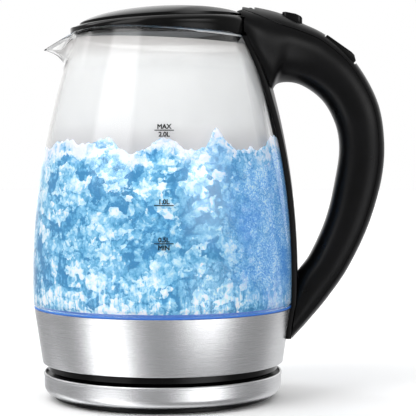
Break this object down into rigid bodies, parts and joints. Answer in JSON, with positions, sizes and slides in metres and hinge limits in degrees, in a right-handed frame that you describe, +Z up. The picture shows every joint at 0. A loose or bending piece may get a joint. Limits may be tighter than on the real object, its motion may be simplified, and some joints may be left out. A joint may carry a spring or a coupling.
{
  "type": "electric kettle",
  "caption": "Cordless glass kettle with a steel band, hinged lid and loop handle, on a round swivelling power base.",
  "frame": {"origin": "centre of the ring foot, on the plane that the base rests on, on the jug's axis", "axes": "+Z up along the jug's axis, +X towards the handle, the spout points along -X"},
  "size_m": [0.2222, 0.164, 0.2466],
  "materials": {
    "black_gloss": "glossy moulded black plastic",
    "black_satin": "satin moulded black plastic",
    "inner_plastic": "plain moulded dark plastic",
    "ivory_plastic": "ivory heat-resistant plastic",
    "steel_brushed": "brushed round the axis",
    "steel_plain": "bright fastener steel",
    "aluminium": "cast aluminium",
    "brass": "contact brass",
    "rubber": "soft black rubber",
    "silicone_grey": "grey silicone",
    "silicone_blue": "translucent silicone lit blue",
    "diffuser_blue": "clear light guide lit blue",
    "circuit_board": "white solder mask",
    "led": "clear LED package",
    "glass": "clear borosilicate glass",
    "wire_red": "PVC wire insulation",
    "element": "oxidised heater sheath",
    "water": "boiling water lit blue",
    "print_black": "screen-printed level marks"
  },
  "bodies": {
    "power_base": {"base_shell": "black_satin", "base_trim_ring": "steel_brushed", "base_bottom_cover": "black_satin", "base_foot_ring": "rubber", "base_screws": "steel_plain", "base_socket": "inner_plastic", "base_contacts": "brass", "cord_gland": "rubber"},
    "shutter": {"swivel_shutter": "inner_plastic"},
    "jug": {"jug_base_cover": "black_gloss", "jug_cover_screws": "steel_plain", "steel_band": "steel_brushed", "heating_plate": "steel_plain", "heat_spreader": "aluminium", "heating_element": "element", "thermostat_control": "ivory_plastic", "connector_housing": "inner_plastic", "connector_pins": "brass", "led_board": "circuit_board", "leds": "led", "light_ring": "diffuser_blue", "plate_seal": "silicone_blue", "glass_body": "glass", "collar": "black_gloss", "hinge_pin": "steel_plain", "lid_spring": "steel_plain", "handle_strip": "black_satin", "handle_body": "black_satin", "handle_cover": "black_satin", "handle_frame": "inner_plastic", "handle_screws": "steel_plain", "steam_thermostat": "ivory_plastic", "wire_harness": "wire_red", "switch_pin": "steel_plain", "button_spring": "steel_plain"},
    "lid": {"lid_cap": "black_gloss", "lid_inner": "inner_plastic", "lid_gasket": "silicone_grey", "lid_catch": "steel_plain"},
    "button": {"release_button": "black_gloss"},
    "latch": {"latch_slider": "ivory_plastic"},
    "switch": {"power_switch": "black_gloss"}
  },
  "joints": [
    {"name": "jug_swivel", "type": "hinge", "parent": "power_base", "child": "shutter", "pos_m": [0, 0, 0.016], "axis": [0, 0, 1], "continuous": true},
    {"name": "jug_lift", "type": "slide", "parent": "shutter", "child": "jug", "axis": [0, 0, 1], "range_m": [0, 0.08]},
    {"name": "lid_hinge", "type": "hinge", "parent": "jug", "child": "lid", "pos_m": [0.0548, 0, 0.2424], "axis": [0, 1, 0], "range_deg": [0, 70]},
    {"name": "button_press", "type": "slide", "parent": "jug", "child": "button", "axis": [0, 0, -1], "range_m": [0, 0.0025], "stiffness_N_per_m": 300, "springref_m": -0.002, "deforming": ["button_spring"]},
    {"name": "latch_slide", "type": "slide", "parent": "jug", "child": "latch", "axis": [1, 0, 0], "range_m": [0, 0.0025]},
    {"name": "switch_rock", "type": "hinge", "parent": "jug", "child": "switch", "pos_m": [0.10078, 0, 0.22207], "axis": [0, 1, 0], "range_deg": [0, 8]}
  ],
  "couplings": [
    {"joint": "latch_slide", "follows": "button_press", "ratio": 1}
  ]
}
